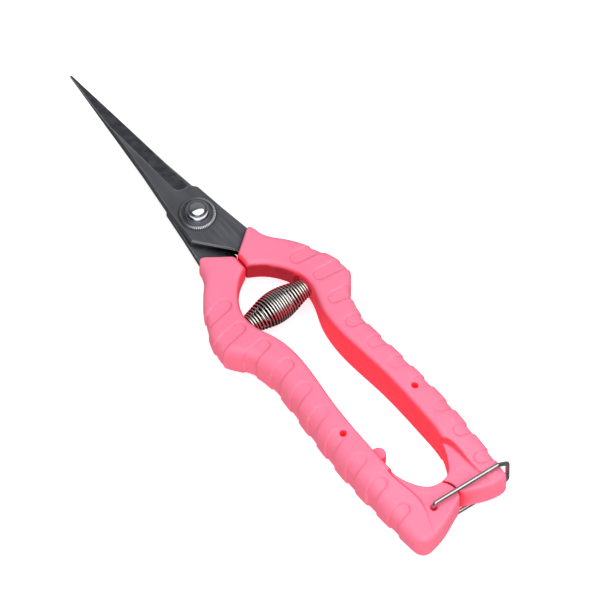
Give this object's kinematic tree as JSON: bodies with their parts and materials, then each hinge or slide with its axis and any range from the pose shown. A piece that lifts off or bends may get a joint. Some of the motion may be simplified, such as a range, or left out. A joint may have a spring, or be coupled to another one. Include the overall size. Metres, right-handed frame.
{
  "type": "floral snips",
  "caption": "Floral snips with slim pointed steel blades on a nut-and-bolt pivot, grooved moulded grips, a barrel spring between them and a wire latch round the feet.",
  "frame": {"origin": "centre of the box round the closed tool, on the plane where the two blades slide on each other; the pivot axis is at y = +33.9 mm", "axes": "+Y runs from the handles to the blade tips, +X to the right handle, +Z to the nut side"},
  "size_m": [0.047, 0.1898, 0.0154],
  "materials": {
    "front_blade": "dark ground steel, bevel slightly cooler",
    "rear_blade": "dark ground steel, bevel slightly cooler",
    "right_handle": "satin bright pink moulded plastic",
    "left_handle": "satin bright pink moulded plastic",
    "pivot_bolt": "polished nickel plate",
    "pivot_nut": "polished nickel plate",
    "serrated_washer": "steel with bright radial ticks",
    "spring": "bright spring wire",
    "latch_wire": "bright drawn wire"
  },
  "bodies": {
    "left_half": {"left_handle": "left_handle", "rear_blade": "rear_blade", "pivot_bolt": "pivot_bolt", "pivot_nut": "pivot_nut", "serrated_washer": "serrated_washer", "spring": "spring"},
    "right_half": {"right_handle": "right_handle", "front_blade": "front_blade"},
    "latch": {"latch_wire": "latch_wire"}
  },
  "joints": [
    {"name": "handle_opening", "type": "hinge", "parent": "left_half", "child": "right_half", "pos_m": [0, 0.03391, 0], "axis": [0, 0, 1], "range_deg": [0, 15], "deforming": ["spring"]},
    {"name": "latch_swing", "type": "hinge", "parent": "left_half", "child": "latch", "pos_m": [-0.0065, -0.08709, 0], "axis": [0, 0, 1], "range_deg": [-191, 0]}
  ],
  "couplings": [
    {"joint": "latch_swing", "follows": "handle_opening", "ratio": -12.7}
  ]
}
